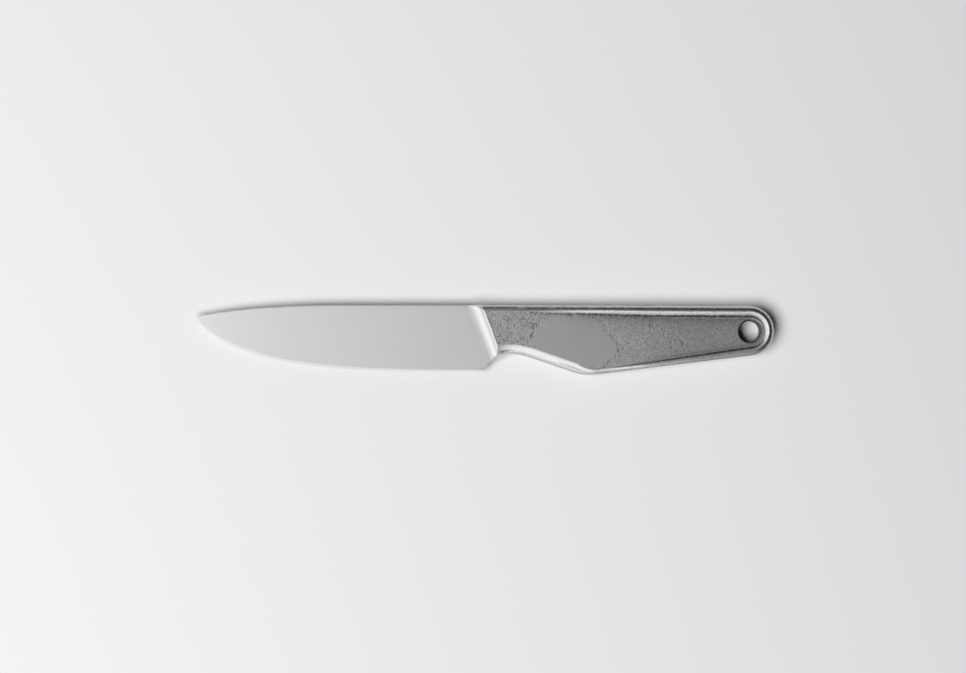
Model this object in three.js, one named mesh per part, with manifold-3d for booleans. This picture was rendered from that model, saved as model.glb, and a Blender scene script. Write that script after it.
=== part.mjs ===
// A forged steel paring knife lying on its side, in millimetres: +X to the butt, +Y to the spine, +Z up.
// Plan positions are measured from a datum just behind the heel (x) and from the straight spine line (y),
// heights from the middle plane of the blade (z). The last lines set the origin under the whole knife.
import * as THREE from "three";
import { mergeVertices } from "three/addons/utils/BufferGeometryUtils.js";
import Module from "manifold-3d";

// Blade
const bladeReach = 105.6; // datum to tip
const tipDrop = 4.4; // tip below the spine line
const spineFall = 55.6; // length over which the spine falls to the tip
const spinePull = 20.4; // how far behind the tip the falling spine aims at the spine line
const heelDepth = 23.85; // cutting edge below the spine line at the heel
const heelPull = 42; // reach of the nearly straight edge ahead of the heel
const bellyPull = 15.3; // the edge's turn up to the tip: its control point behind the tip
const bellyDrop = 20.5; // and below it
const spineThickness = 2.2; // at the bolster
const spineEase = 0.25; // eased corners of the spine
const edgeThickness = 0.36; // behind the sharpened bevel
const bevelAtHeel = 0.4; // width of the sharpened bevel
const bevelAtTip = 0.9;

// Bolster and heel
const bolsterLean = THREE.MathUtils.degToRad(20.5); // lean of the rear face from upright
const bolsterRear = -0.4; // rear face on the spine line
const bolsterRamp = 4.4; // ramp up from the blade
const bolsterHollow = 2.4; // how far the foot of the ramp aims along the blade
const bolsterShoulder = 1.6; // how far its top aims along the flat
const bolsterLand = 0.8; // flat on top
const bolsterChamfer = 0.1; // at the rear edge
const bolsterRound = 1.2; // rounded spine and finger sides
const spineCornerAlong = 1.8; // rounded rear corner at the spine, in plan
const spineCornerAcross = 1.8;
const fingerCornerAt = THREE.MathUtils.degToRad(29); // the other corner starts this far round the notch
const fingerCornerAcross = 3.2;
const cornerRoom = 2; // how far the handle's edges run on ahead of the rear face, round the corners
const heelCut = THREE.MathUtils.degToRad(50); // slope of the cut behind the heel
const choilX = 9.6; // top of the finger notch
const choilRise = 6.2; // above the heel
const choilFrontRadius = 10.5;
const choilRearRadius = 20;

// Handle outline
const handleThickness = 7.4; // over the rims and over the bolster
const buttX = 96.05; // middle of the round butt
const buttDrop = 9.3;
const buttRadius = 8.9;
const rearSlope = THREE.MathUtils.degToRad(7); // underside behind the belly
const frontSlope = THREE.MathUtils.degToRad(18.9); // underside ahead of the belly
const bellyRadius = 18;
const holeRadius = 3.8; // hanging hole
const holeDrop = 0.3; // below the middle of the butt
const holeEdge = 0.4; // broken edge of the hole

// Scales: rim, panel and fit on the tang
const tangThickness = 2.2;
const rimNearBolster = 2.35; // width of the rolled top edge beside the bolster
const rimTop = 3.8; // width of the raised top rim
const rimRear = 3.35; // round the butt and under the rear half
const rimBelly = 1.8; // at the sharp inner corner over the belly
const rimFront = 3.9; // width of the rolled front edge
const rimRiseStart = 20; // the top rim rises out of the panel from here
const rimRiseEnd = 46;
const crestBegins = 0.44; // flat crest of the raised rim, as shares of its width
const crestEnds = 0.5;
const rimRound = 1.8; // height of the raised rim's rounded outer side, above an upright wall
const rollFoot = 0.3; // height of the upright wall under the rolled edges, above the tang
const slopeEase = 0.5; // the rim's inner slope: 0 is straight, 1 is an even S
const panelDropAtBolster = 0.6; // panel below the crest
const panelDropAtButt = 1;
const ledgeHeight = 0.15; // narrow ledge inside the rear rim, above the panel
const ledgeBegins = 0.86; // as shares of the rim's width
const ledgeEnds = 0.93;
const ledgeRiseStart = 52; // the ledge comes out of the panel from here
const ledgeRiseEnd = 76;
const scaleGap = 0.05; // between the scales and the bolster

// Hidden dowels: x, and depth under the spine line or above the underside
const dowelRadius = 1;
const dowelSetback = 1.7; // dowel ends below the crests of the rims
const dowelEase = 0.2;
const dowelClearance = 0.1;
const dowelEndRoom = 0.2;
const dowelPlaces = [
  { name: "dowel_spine_front", x: 13, inset: 6, fromSpine: true },
  { name: "dowel_spine_rear", x: buttX - 22, inset: 1.75, fromSpine: true },
  { name: "dowel_belly_front", x: 29, inset: 5.5, fromSpine: false },
  { name: "dowel_belly_rear", x: buttX - 28, inset: 1.5, fromSpine: false },
];

const crest = handleThickness / 2;
const dowelLength = handleThickness - 2 * dowelSetback;
const beyond = 40; // reach of the cutting bodies past what they cut
const right = Math.PI / 2;
const weld = 1e-5; // points nearer than this are one
const turnedSides = 32;
const arcSteps = 10; // in the finger notch and in the bolster's ramps and corners

const at = (x, y) => new THREE.Vector2(x, y);
const polar = (centre, radius, angle) =>
  at(centre.x + radius * Math.cos(angle), centre.y + radius * Math.sin(angle));
const along = (start, angle, length) => polar(start, length, angle);
const mix = THREE.MathUtils.lerp;

const wasm = await Module();
wasm.setup();

// A closed geometry as a solid, with its faces turned out
function solid(geometry) {
  geometry.deleteAttribute("normal");
  geometry.deleteAttribute("uv");
  const merged = mergeVertices(geometry, weld);
  const place = merged.attributes.position;
  const corners = new Uint32Array(merged.index.array);
  const [a, b, c] = [new THREE.Vector3(), new THREE.Vector3(), new THREE.Vector3()];
  let volume = 0;
  for (let i = 0; i < corners.length; i += 3) {
    a.fromBufferAttribute(place, corners[i]);
    b.fromBufferAttribute(place, corners[i + 1]);
    c.fromBufferAttribute(place, corners[i + 2]);
    volume += a.dot(b.cross(c));
  }
  if (volume < 0) corners.reverse();
  const vertProperties = new Float32Array(place.array);
  return new wasm.Manifold(new wasm.Mesh({ numProp: 3, vertProperties, triVerts: corners }));
}

// Rings of points with equal counts, skinned in order and filled at both ends. A last ring of one point is
// a tip. flat(point) gives the plane in which the ends are filled.
function skin(rings, flat) {
  const points = rings.flat();
  const count = rings[0].length;
  const last = rings.length - 1;
  const pointed = rings[last].length === 1;
  const faces = [];
  for (let ring = 0; ring < last; ring++) {
    for (let i = 0; i < count; i++) {
      const near = ring * count + i;
      const next = ring * count + ((i + 1) % count);
      if (pointed && ring === last - 1) faces.push(near, next, points.length - 1);
      else faces.push(near, next, near + count, next, next + count, near + count);
    }
  }
  const fill = (ring, forward) => {
    const outline = rings[ring].map(flat);
    const filling = THREE.ShapeUtils.triangulateShape(outline, []);
    const area = (corners) => THREE.ShapeUtils.area(corners.map((i) => outline[i]));
    const total = filling.reduce((sum, face) => sum + area(face), 0);
    const sameWay = total > 0 === THREE.ShapeUtils.area(outline) > 0;
    for (const [i, j, k] of filling) {
      const corners = sameWay === forward ? [i, j, k] : [i, k, j];
      faces.push(...corners.map((corner) => ring * count + corner));
    }
  };
  fill(0, false);
  if (!pointed) fill(last, true);
  const geometry = new THREE.BufferGeometry();
  const numbers = points.flatMap((point) => point.toArray());
  geometry.setAttribute("position", new THREE.Float32BufferAttribute(numbers, 3));
  geometry.setIndex(faces);
  return solid(geometry);
}

// A plan outline as a slab between two heights
function slab(outline, low, high) {
  const depth = high - low;
  const geometry = new THREE.ExtrudeGeometry(new THREE.Shape(outline), { depth, bevelEnabled: false });
  return solid(geometry.translate(0, 0, low));
}

// A turned body about an upright axis, from [radius, height] pairs
function turned(profile, place) {
  const points = profile.map(([radius, height]) => at(radius, height));
  const geometry = new THREE.LatheGeometry(points, turnedSides);
  return solid(geometry.rotateX(right).translate(place.x, place.y, 0));
}

// Bolster lines: x of the leaning plane at a depth, moved by an offset square to the plane
const leanX = (y, offset) => bolsterRear - y * Math.tan(bolsterLean) + offset / Math.cos(bolsterLean);

// Everything behind the leaning plane
function behindBolster(offset) {
  const high = at(leanX(beyond, offset), beyond);
  const low = at(leanX(-beyond, offset), -beyond);
  const far = buttX + buttRadius + beyond;
  return slab([low, at(far, -beyond), at(far, beyond), high], -beyond, beyond);
}

// Finger notch and heel
const choilTop = at(choilX, choilRise - heelDepth);
const choilFront = at(choilX, choilTop.y - choilFrontRadius);
const choilRear = at(choilX, choilTop.y - choilRearRadius);
const heelCutTop = polar(choilFront, choilFrontRadius, right + heelCut);
const heelCutLength = (heelDepth + heelCutTop.y) / Math.sin(heelCut);
const heel = along(heelCutTop, Math.PI + heelCut, heelCutLength);
const choilFrontArc = new THREE.ArcCurve(
  choilFront.x,
  choilFront.y,
  choilFrontRadius,
  right,
  right + heelCut,
  false,
);

// Blade: flat ground from spine to bevel at one angle, so that it thins to the tip
const tip = at(-bladeReach, -tipDrop);
const spineCurve = new THREE.QuadraticBezierCurve(
  at(tip.x + spineFall, 0),
  at(tip.x + spinePull, 0),
  tip,
);
const edgeCurve = new THREE.CubicBezierCurve(
  heel,
  at(heel.x - heelPull, heel.y),
  at(tip.x + bellyPull, tip.y - bellyDrop),
  tip,
);
const grind = (spineThickness - edgeThickness) / 2 / (heelDepth - bevelAtHeel);
const faceHeight = (y, bevelTop) => edgeThickness / 2 + grind * (y - bevelTop);

// Depth of the spine at x, by halving the stretch of curve that holds it
function spineAt(x) {
  if (x >= spineCurve.v0.x) return 0;
  const halvings = 40;
  let [back, front] = [0, 1];
  for (let step = 0; step < halvings; step++) {
    const middle = (back + front) / 2;
    if (spineCurve.getPoint(middle).x > x) back = middle;
    else front = middle;
  }
  return spineCurve.getPoint(back).y;
}

// Half of a section, from the middle of the spine to the edge
function bladeSection(x, spine, edge, bevelHeight) {
  const bevelTop = edge + Math.min(bevelHeight, (spine - edge) / 2);
  const ease = Math.min(spineEase, (spine - bevelTop) / 4);
  const shoulder = faceHeight(spine - ease, bevelTop);
  const half = [
    [spine, shoulder - ease],
    [spine - ease, shoulder],
    [bevelTop, edgeThickness / 2],
  ];
  const front = half.map(([y, z]) => new THREE.Vector3(x, y, z));
  const back = half.map(([y, z]) => new THREE.Vector3(x, y, -z)).reverse();
  return [...front, new THREE.Vector3(x, edge, 0), ...back];
}

function bladeBody() {
  const stations = 30;
  const root = heel.x + beyond;
  const rings = [bladeSection(root, 0, heel.y, bevelAtHeel)];
  for (let i = 0; i < stations; i++) {
    const reach = i / stations;
    const edge = edgeCurve.getPoint(reach);
    const run = edgeCurve.getTangent(reach);
    const bevel = mix(bevelAtHeel, bevelAtTip, Math.min(1, 2 * reach)) / Math.abs(run.x);
    rings.push(bladeSection(edge.x, spineAt(edge.x), edge.y, bevel));
  }
  rings.push([new THREE.Vector3(tip.x, tip.y, 0)]);
  const cutEnd = along(heel, Math.PI + heelCut, beyond);
  const notch = [
    cutEnd,
    ...choilFrontArc.getPoints(arcSteps).reverse(),
    at(choilX + beyond, choilTop.y),
    at(choilX + beyond, cutEnd.y),
  ];
  const rootCut = behindBolster(-cornerRoom / 2);
  return skin(rings, (p) => at(p.y, p.z)).subtract(slab(notch, -beyond, beyond)).subtract(rootCut);
}

// What is cut off a rear corner of the bolster to round it in plan, from a point on its spine side (1) or
// finger side (-1) to a distance across the rear face
function cornerWaste(start, side, across) {
  const reach = (leanX(start.y, 0) - start.x) * Math.cos(bolsterLean);
  const round = new THREE.EllipseCurve(-reach, -across, reach, across, 0, right);
  const outside = [at(-reach, beyond), at(beyond, beyond), at(beyond, -across)];
  const plan = [...round.getPoints(arcSteps), ...outside].map((p) => {
    const y = start.y + side * p.y;
    return at(leanX(y, p.x), y);
  });
  return slab(plan, -beyond, beyond);
}

// Bolster: a leaning bar whose ramps run out on the blade's faces, rounded at its spine and finger sides and
// at its rear corners
function bolsterBody() {
  const rampFoot = -bolsterChamfer - bolsterLand - bolsterRamp;
  const sink = 0.02;
  const section = (y) => {
    const foot = faceHeight(y, -heelDepth + bevelAtHeel) - sink;
    const ramp = new THREE.CubicBezierCurve(
      at(rampFoot + bolsterRamp, crest),
      at(rampFoot + bolsterRamp - bolsterShoulder, crest),
      at(rampFoot + bolsterHollow, foot),
      at(rampFoot, foot),
    );
    const half = [
      at(0, crest - bolsterChamfer),
      at(-bolsterChamfer, crest),
      ...ramp.getPoints(arcSteps),
      at(rampFoot - bolsterRamp / 2, foot - sink),
    ];
    const front = half.map((p) => new THREE.Vector3(leanX(y, p.x), y, p.y));
    return [...front, ...front.map((p) => new THREE.Vector3(p.x, p.y, -p.z)).reverse()];
  };
  const bar = skin([section(bolsterRound), section(-heelDepth)], (p) => at(p.x, p.z));

  // The plan runs on behind the rear face, so that only the spine and finger sides are rounded
  const behind = choilX + 2 * bolsterRound;
  const plan = [
    at(leanX(0, rampFoot - bolsterRamp), 0),
    at(behind, 0),
    at(behind, choilTop.y),
    ...choilFrontArc.getPoints(arcSteps),
    along(heelCutTop, Math.PI + heelCut, heelCutLength / 2),
  ];
  const depth = handleThickness - 2 * bolsterRound;
  const blank = new THREE.ExtrudeGeometry(new THREE.Shape(plan), {
    depth,
    bevelSize: bolsterRound,
    bevelOffset: -bolsterRound,
    bevelThickness: bolsterRound,
    bevelSegments: 5,
  });
  const spineCorner = at(leanX(0, -spineCornerAlong), 0);
  const fingerCorner = polar(choilFront, choilFrontRadius, right + fingerCornerAt);
  return bar
    .intersect(solid(blank.translate(0, 0, -depth / 2)))
    .subtract(cornerWaste(spineCorner, 1, spineCornerAcross))
    .subtract(cornerWaste(fingerCorner, -1, fingerCornerAcross));
}

// Handle outline, clockwise from the spine line ahead of the bolster. Each stretch has the width of the rim
// and how far it stands out of the panel, 0 to 1, at its start and at its end.
function handleStretches() {
  const butt = at(buttX, -buttDrop);
  const topAngle = butt.angle() - 2 * Math.PI + Math.asin(buttRadius / butt.length());
  const onTop = (x) => at(x, x * Math.tan(topAngle));
  const buttTop = polar(butt, buttRadius, right + topAngle);
  const buttLow = polar(butt, buttRadius, rearSlope - right);
  const choilEnd = polar(choilRear, choilRearRadius, right - frontSlope);

  // The two straight undersides meet at the belly and are joined there by an arc
  const rearRise = Math.tan(rearSlope);
  const frontFall = Math.tan(frontSlope);
  const bellyX =
    (choilEnd.y + frontFall * choilEnd.x - buttLow.y + rearRise * buttLow.x) / (rearRise + frontFall);
  const belly = at(bellyX, choilEnd.y - frontFall * (bellyX - choilEnd.x));
  const ease = bellyRadius * Math.tan((rearSlope + frontSlope) / 2);
  const bellyRearEnd = along(belly, rearSlope, ease);
  const bellyFrontEnd = along(belly, Math.PI - frontSlope, ease);
  const bellyCentre = polar(bellyRearEnd, bellyRadius, right + rearSlope);

  const ahead = -beyond / 4;
  const line = (from, to) => new THREE.LineCurve(from, to);
  const arc = (centre, radius, from, to) =>
    new THREE.ArcCurve(centre.x, centre.y, radius, from, to, to < from);
  const stretch = (curve, steps, width, rise) => ({ curve, steps, width, rise });
  const bellyArc = arc(bellyCentre, bellyRadius, rearSlope - right, -frontSlope - right);
  return [
    stretch(line(at(ahead, 0), at(0, 0)), 1, [rimNearBolster, rimNearBolster], [0, 0]),
    stretch(line(at(0, 0), onTop(rimRiseStart)), 2, [rimNearBolster, rimNearBolster], [0, 0]),
    stretch(line(onTop(rimRiseStart), onTop(rimRiseEnd)), 10, [rimNearBolster, rimTop], [0, 1]),
    stretch(line(onTop(rimRiseEnd), buttTop), 4, [rimTop, rimTop], [1, 1]),
    stretch(arc(butt, buttRadius, right + topAngle, rearSlope - right), 36, [rimTop, rimRear], [1, 1]),
    stretch(line(buttLow, bellyRearEnd), 6, [rimRear, rimBelly], [1, 1]),
    stretch(bellyArc, 8, [rimBelly, rimFront], [1, 0]),
    stretch(line(bellyFrontEnd, choilEnd), 3, [rimFront, rimFront], [0, 0]),
    stretch(arc(choilRear, choilRearRadius, right - frontSlope, right), 6, [rimFront, rimFront], [0, 0]),
    stretch(choilFrontArc, arcSteps, [rimFront, rimFront], [0, 0]),
    stretch(line(heelCutTop, at(ahead, heelCutTop.y)), 1, [rimFront, rimFront], [0, 0]),
    stretch(line(at(ahead, heelCutTop.y), at(ahead, 0)), 1, [rimFront, rimNearBolster], [0, 0]),
  ];
}

const smooth = (share) => THREE.MathUtils.smoothstep(share, 0, 1);
const outline = handleStretches().flatMap(({ curve, steps, width, rise }) =>
  curve
    .getPoints(steps)
    .slice(0, -1)
    .map((point, i) => ({
      point,
      width: mix(...width, i / steps),
      rise: mix(...rise, smooth(i / steps)),
    })),
);

// Inward step at each outline point, of unit width square to both neighbouring edges
const inward = outline.map(({ point }, i) => {
  const before = outline[(i + outline.length - 1) % outline.length].point;
  const after = outline[(i + 1) % outline.length].point;
  const arriving = point.clone().sub(before).normalize();
  const leaving = after.clone().sub(point).normalize();
  const sum = arriving.add(leaving);
  return at(sum.y, -sum.x).multiplyScalar(2 / sum.lengthSq());
});

// The underside at a distance behind the datum: the outline runs back towards the tip only there
function undersideAt(x) {
  const next = outline.findIndex(({ point }, i) => i > 0 && point.x <= x && x < outline[i - 1].point.x);
  const [a, b] = [outline[next - 1].point, outline[next].point];
  return mix(a.y, b.y, (a.x - x) / (a.x - b.x));
}

const panelDrop = (x) =>
  mix(panelDropAtBolster, panelDropAtButt, (x - bolsterRear) / (buttX - bolsterRear));
const panelHeight = (x) => crest - panelDrop(x);
const ledgeRise = (x) => THREE.MathUtils.smoothstep(x, ledgeRiseStart, ledgeRiseEnd);

// Height of the rim at a share of its width: a quarter round up from the outer wall, a narrow flat crest, a
// soft slope and, towards the butt, a ledge above the panel. Where the rim doesn't rise, the round takes the
// whole width.
function rimHeight(share, rise, x) {
  const roundEnds = mix(1, crestBegins, rise);
  const slopeEnds = mix(1, ledgeBegins, ledgeRise(x));
  const straight = THREE.MathUtils.clamp((share - crestEnds) / (slopeEnds - crestEnds), 0, 1);
  const slope = mix(straight, smooth(straight), slopeEase);
  const step = smooth((share - ledgeEnds) / (1 - ledgeEnds));
  const foot = panelHeight(x) + rise * ledgeHeight * ledgeRise(x) * (1 - step);
  const level = foot + rise * (crest - foot) * (1 - slope);
  const wall = mix(tangThickness / 2 + rollFoot, crest - rimRound, rise);
  const left = 1 - Math.min(1, share / roundEnds);
  return mix(wall, level, Math.sqrt(1 - left * left));
}

// The handle on the upper side (1) or the lower side (-1) of the tang, running on into the bolster
function handleSide(side) {
  const shares = [0, 0.05, 0.12, 0.21, 0.31, crestBegins, crestEnds, 0.62, 0.74, ledgeBegins, ledgeEnds, 1];
  const ring = (share, height) =>
    outline.map(({ point, width, rise }, i) => {
      const place = point.clone().addScaledVector(inward[i], width * share);
      return new THREE.Vector3(place.x, place.y, side * height(place.x, rise));
    });
  const foot = ring(0, () => tangThickness / 2);
  const rim = shares.map((share) => ring(share, (x, rise) => rimHeight(share, rise, x)));
  return skin([foot, ...rim], (p) => at(p.x, p.y));
}

const scaleBody = (side) => handleSide(side).intersect(behindBolster(scaleGap));

// The tang, with the handle's shape round the bolster's rear corners
function tangBody() {
  const plan = outline.map(({ point }) => point);
  const plate = slab(plan, -tangThickness / 2, tangThickness / 2);
  const corners = handleSide(1).add(handleSide(-1)).subtract(behindBolster(0));
  return plate.add(corners).intersect(behindBolster(-cornerRoom));
}

// Hanging hole through both scales and the tang, with its edges broken at the panels
function holeBody() {
  const rim = panelHeight(buttX);
  const wide = holeRadius + holeEdge;
  const upper = [
    [holeRadius, rim - holeEdge],
    [wide, rim],
    [wide, beyond],
    [0, beyond],
  ];
  const lower = upper.map(([radius, height]) => [radius, -height]).reverse();
  return turned([...lower, ...upper], at(buttX, -buttDrop - holeDrop));
}

const dowelHoles = [];
const dowelPins = dowelPlaces.map(({ name, x, inset, fromSpine }) => {
  const place = at(x, fromSpine ? -inset : undersideAt(x) + inset);
  const end = dowelLength / 2;
  const top = [
    [dowelRadius, end - dowelEase],
    [dowelRadius - dowelEase, end],
    [0, end],
  ];
  const bottom = top.map(([radius, height]) => [radius, -height]).reverse();
  const room = end + dowelEndRoom;
  const wide = dowelRadius + dowelClearance;
  dowelHoles.push(turned([[0, -room], [wide, -room], [wide, room], [0, room]], place));
  return [name, turned([...bottom, ...top], place)];
});

const drilled = (body) => [holeBody(), ...dowelHoles].reduce((rest, hole) => rest.subtract(hole), body);

const satinSteel = { color: 0xc6c8ca, roughness: 0.32, metalness: 1 };
const forgedSteel = { color: 0x8d8f91, roughness: 0.48, metalness: 1 };
const brightSteel = { color: 0xb4b6b8, roughness: 0.25, metalness: 1 };

const knife = new THREE.Group();
function addPiece(name, body, finish) {
  const mesh = body.getMesh();
  const geometry = new THREE.BufferGeometry();
  geometry.setAttribute("position", new THREE.BufferAttribute(new Float32Array(mesh.vertProperties), 3));
  geometry.setIndex(new THREE.BufferAttribute(new Uint32Array(mesh.triVerts), 1));
  const piece = new THREE.Mesh(geometry, new THREE.MeshStandardMaterial(finish));
  piece.name = name;
  knife.add(piece);
}

addPiece("forged_blade", drilled(bladeBody().add(bolsterBody()).add(tangBody())), satinSteel);
addPiece("handle_scale_front", drilled(scaleBody(1)), forgedSteel);
addPiece("handle_scale_back", drilled(scaleBody(-1)), forgedSteel);
for (const [name, pin] of dowelPins) addPiece(name, pin, brightSteel);

// Origin in the middle of the knife's box, on the surface that it lies on
const box = new THREE.Box3().setFromObject(knife);
const middle = box.getCenter(new THREE.Vector3());
knife.position.set(-middle.x, -middle.y, -box.min.z);

export default knife;
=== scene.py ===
import math

import bpy
import numpy as np
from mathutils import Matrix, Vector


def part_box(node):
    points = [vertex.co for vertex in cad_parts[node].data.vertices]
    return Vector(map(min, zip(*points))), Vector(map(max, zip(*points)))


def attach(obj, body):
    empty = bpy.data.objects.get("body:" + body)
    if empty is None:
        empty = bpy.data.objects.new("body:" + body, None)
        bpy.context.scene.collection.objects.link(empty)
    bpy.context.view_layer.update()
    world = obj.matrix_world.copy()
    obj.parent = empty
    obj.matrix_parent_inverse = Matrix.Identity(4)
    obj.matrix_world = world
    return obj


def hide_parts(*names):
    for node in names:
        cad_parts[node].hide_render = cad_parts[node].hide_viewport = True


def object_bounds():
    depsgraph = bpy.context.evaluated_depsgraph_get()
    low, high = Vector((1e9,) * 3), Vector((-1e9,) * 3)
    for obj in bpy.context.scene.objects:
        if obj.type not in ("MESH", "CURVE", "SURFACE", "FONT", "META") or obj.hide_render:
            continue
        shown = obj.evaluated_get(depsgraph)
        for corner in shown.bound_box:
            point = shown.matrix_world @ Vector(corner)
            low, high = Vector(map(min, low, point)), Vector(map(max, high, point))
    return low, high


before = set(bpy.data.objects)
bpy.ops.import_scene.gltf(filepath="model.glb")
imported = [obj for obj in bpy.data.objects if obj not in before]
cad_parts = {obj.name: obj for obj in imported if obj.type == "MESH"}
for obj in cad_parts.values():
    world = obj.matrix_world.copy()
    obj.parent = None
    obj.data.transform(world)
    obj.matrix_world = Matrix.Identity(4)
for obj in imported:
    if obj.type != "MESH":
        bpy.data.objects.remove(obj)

cadLow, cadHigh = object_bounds()
mm = 0.001  # the sizes below are millimetres
tiny = 1e-6
weldGap = 2e-6  # metres

# plan positions run from just behind the heel (x) and the spine line (y), heights from mid blade
blade = {
    "reach": 105.6,
    "tipDrop": 4.4,
    "spineFall": 55.6,
    "spinePull": 20.4,
    "heelDepth": 23.85,
    "heelPull": 42,
    "bellyPull": 15.3,
    "bellyDrop": 20.5,
    "spineThickness": 2.2,
    "spineEase": 0.35,
    "spineEaseMost": 0.8,  # share of the half thickness
    "heelEase": 0.08,
    "edgeThickness": 0.36,
    "bevelAtHeel": 0.3,
    "bevelAtTip": 0.9,
    "stations": 150,
    "faceRows": 14,
    "roundRows": 12,
    "smoothAngle": math.radians(9),
}
bolster = {
    "lean": math.radians(20.5),
    "rear": -0.4,
    "foot": -5.8,  # where the ramp leaves the blade, from the rear plane
    "hollow": 1.5,  # reach of the hollow foot
    "shoulder": 2.6,  # reach of the rounded shoulder
    "crown": 1.0,  # from the shoulder to the rear edge
    "crownTilt": math.radians(3.5),  # the crown still climbs a little to the rear
    "lip": 0.075,  # fine raised rear edge
    "lipWidth": 0.45,
    "chamfer": 0.04,
    "round": 1.2,
    "topCorner": (1.8, 1.8),  # rounded rear corners in plan, along and across
    "lowCorner": (1.5, 2.9),
    "stations": 150,
}
notch = {
    "heelCut": math.radians(50),
    "x": 9.6,
    "rise": 6.2,
    "frontRadius": 10.5,
    "rearRadius": 20,
}
handle = {
    "thickness": 7.4,
    "tang": 2.2,
    "buttX": 96.05,
    "buttDrop": 9.3,
    "buttRadius": 8.9,
    "rearSlope": math.radians(7),
    "frontSlope": math.radians(18.9),
    "bellyRadius": 18,
    "holeRadius": 3.8,
    "holeDrop": 0.3,
    "holeEdge": 0.4,
    "holeCorners": 160,
    "holeTurn": math.radians(0.7),  # keeps its corners off the grid lines
    "boreReach": 0.05,
    "boreShadeStrength": 0.95,
    "scaleGap": 0.02,
}

crest = handle["thickness"] / 2
boxLow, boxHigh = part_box("forged_blade")
datum = np.array([boxLow.x + blade["reach"] * mm, boxHigh.y, (boxLow.z + boxHigh.z) / 2])


def mix(a, b, share):
    return a + (b - a) * share


def smooth(value, low=0.0, high=1.0):
    share = np.clip((value - low) / (high - low), 0, 1)
    return share * share * (3 - 2 * share)


# 1 on a line, falling away to both sides
def ridge(value, middle, width):
    return np.exp(-((value - middle) / width) ** 2)


# height of a line of straight runs, given by its corners
def traced(value, corners):
    return np.interp(value, *zip(*corners))


def bezier(share, *controls):
    share = np.asarray(share, float)[:, None]
    points = [np.array(control, float) for control in controls]
    while len(points) > 1:
        points = [a + (b - a) * share for a, b in zip(points, points[1:])]
    return points[0]


def polar(centre, radius, angle):
    angle = np.asarray(angle, float)
    return np.stack([centre[0] + radius * np.cos(angle), centre[1] + radius * np.sin(angle)], -1)


# the bolster leans, so places near it are told by their distance from its rear plane
tanLean = math.tan(bolster["lean"])
cosLean = math.cos(bolster["lean"])


def leanX(y, behind):
    return bolster["rear"] - y * tanLean + behind / cosLean


def behindRear(points):
    return (points[:, 0] - bolster["rear"] + points[:, 1] * tanLean) * cosLean


# outline of the finger notch, the heel and the blade
notchTop = np.array([notch["x"], notch["rise"] - blade["heelDepth"]])
notchFront = notchTop - [0, notch["frontRadius"]]
notchRear = notchTop - [0, notch["rearRadius"]]
heelCutTop = polar(notchFront, notch["frontRadius"], math.pi / 2 + notch["heelCut"])
heelCutLength = (blade["heelDepth"] + heelCutTop[1]) / math.sin(notch["heelCut"])
heel = polar(heelCutTop, heelCutLength, math.pi + notch["heelCut"])
tip = np.array([-blade["reach"], -blade["tipDrop"]])
along = np.linspace(0, 1, 400)
frontArc = np.linspace(math.pi / 2, math.pi / 2 + notch["heelCut"], 120)
notchArc = polar(notchFront, notch["frontRadius"], frontArc)
edgeLine = bezier(
    along,
    heel,
    heel - [blade["heelPull"], 0],
    tip + [blade["bellyPull"], -blade["bellyDrop"]],
    tip,
)
spineBend = bezier(
    along,
    (tip[0] + blade["spineFall"], 0),
    (tip[0] + blade["spinePull"], 0),
    tip,
)
spineLine = np.vstack([[(20, 0)], spineBend])  # from well behind the bolster
lowLine = np.vstack([notchArc, edgeLine])
edgeRun = np.gradient(edgeLine, axis=0)
edgeRun /= np.linalg.norm(edgeRun, axis=1)[:, None]
bevelWidth = mix(blade["bevelAtHeel"], blade["bevelAtTip"], np.minimum(1, 2 * along))
bevelHeight = bevelWidth / np.abs(edgeRun[:, 0])
grind = (blade["spineThickness"] - blade["edgeThickness"]) / 2 / (blade["heelDepth"] - blade["bevelAtHeel"])


def lookUp(value, line, figures):
    return np.interp(value, line[::-1], figures[::-1])


# half thickness of the ground blade
def bladeHeight(x, y):
    edge = lookUp(x, edgeLine[:, 0], edgeLine[:, 1])
    spine = lookUp(x, spineLine[:, 0], spineLine[:, 1])
    fullBevel = lookUp(x, edgeLine[:, 0], bevelHeight)
    bevel = np.maximum(np.minimum(fullBevel, (spine - edge) / 2), tiny)
    behindBevel = blade["edgeThickness"] / 2 * bevel / fullBevel
    onBevel = behindBevel * (y - edge) / bevel
    onFace = behindBevel + grind * (y - edge - bevel)
    return np.where(y - edge < bevel, onBevel, onFace)


# how far the bolster has risen from the blade to its crown, 0 to 1
crownEnd = -bolster["chamfer"]
rampTop = crownEnd - bolster["crown"]
rampFoot = bolster["foot"]
crownClimb = math.tan(bolster["crownTilt"]) / (crest - blade["spineThickness"] / 2)
rampCurve = np.vstack([bezier(
    along,
    (rampFoot, 0),
    (rampFoot + bolster["hollow"], 0),
    (rampTop - bolster["shoulder"], 1 - (bolster["crown"] + bolster["shoulder"]) * crownClimb),
    (rampTop, 1 - bolster["crown"] * crownClimb),
), [(crownEnd, 1)]])


def bolsterRise(behind):
    return np.interp(behind, rampCurve[:, 0], rampCurve[:, 1])


def lipHeight(behind):
    return bolster["lip"] * smooth(behind, crownEnd - bolster["lipWidth"], crownEnd)


def lostToRound(distance, radius):
    left = radius - np.clip(distance, 0, radius)
    return radius - np.sqrt(radius * radius - left * left)


def cornerCut(behind, corner):
    reach, depth = corner
    into = np.clip(behind / reach + 1, 0, 1)
    return depth * (1 - np.sqrt(1 - into * into))


def deselect():
    if bpy.context.object and bpy.context.object.mode != "OBJECT":
        bpy.ops.object.mode_set(mode="OBJECT")
    bpy.ops.object.select_all(action="DESELECT")


def pick(piece):
    deselect()
    piece.select_set(True)
    bpy.context.view_layer.objects.active = piece


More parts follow.
